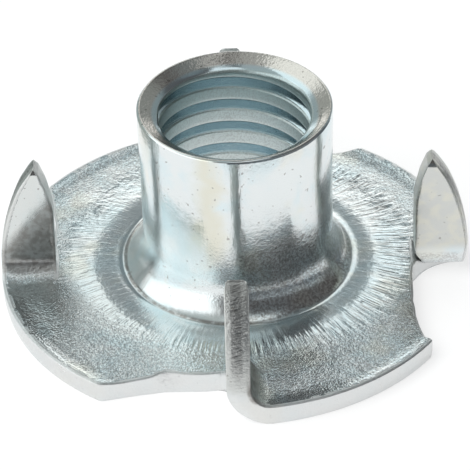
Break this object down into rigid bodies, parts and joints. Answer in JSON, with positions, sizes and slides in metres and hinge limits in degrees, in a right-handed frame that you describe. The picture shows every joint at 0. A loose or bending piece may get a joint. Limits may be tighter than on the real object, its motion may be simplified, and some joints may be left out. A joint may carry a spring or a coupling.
{
  "type": "tee nut",
  "caption": "Round-flanged threaded insert for timber: a drawn barrel with an internal thread, and prongs folded up from the rim that bite into the wood.",
  "frame": {"origin": "centre of the flange's flat underside, on the axis of the barrel", "axes": "+Z along the barrel, from the flange towards the mouth and the prong tips; +X and +Y through the middles of two prongs"},
  "size_m": [0.022, 0.022, 0.0099],
  "materials": {
    "zinc_plate": "bright zinc plate on pressed sheet steel, with a fine grain and radial draw marks on the flange"
  },
  "bodies": {
    "root": {"tee_nut": "zinc_plate"}
  },
  "joints": []
}
